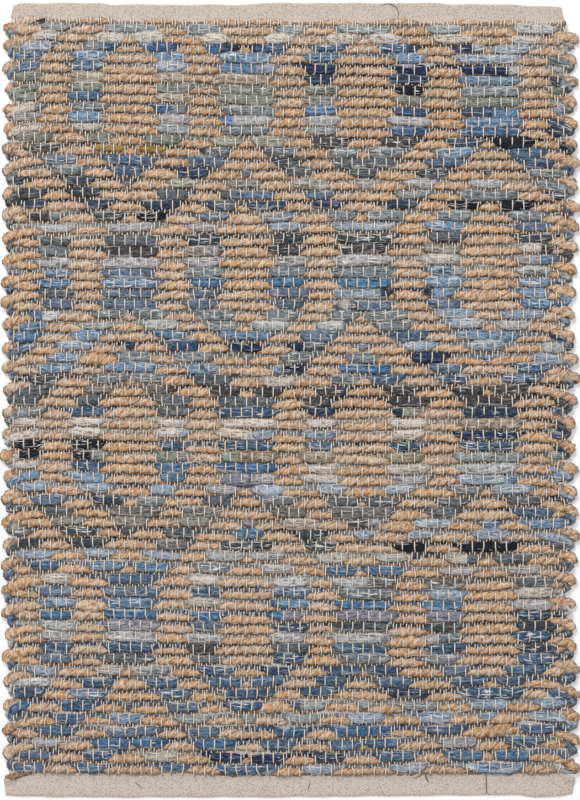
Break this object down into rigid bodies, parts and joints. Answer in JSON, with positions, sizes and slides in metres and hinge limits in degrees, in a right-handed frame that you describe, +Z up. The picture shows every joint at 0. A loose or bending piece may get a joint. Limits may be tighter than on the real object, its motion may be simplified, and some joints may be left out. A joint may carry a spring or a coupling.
{
  "type": "rag rug",
  "caption": "Flat hand-woven rug of jute and denim rag weft on a cotton warp, with ribbed faces, looped selvedges and thin woven ends.",
  "frame": {"origin": "middle of the flat underside, on the floor", "axes": "+X across the rug along its weft, +Y along its warp to the far end, +Z up out of the face"},
  "size_m": [0.6126, 0.8386, 0.0104],
  "materials": {
    "weave": "matt jute and denim rag weave with a cream cotton warp"
  },
  "bodies": {
    "root": {"rug": "weave"}
  },
  "joints": []
}
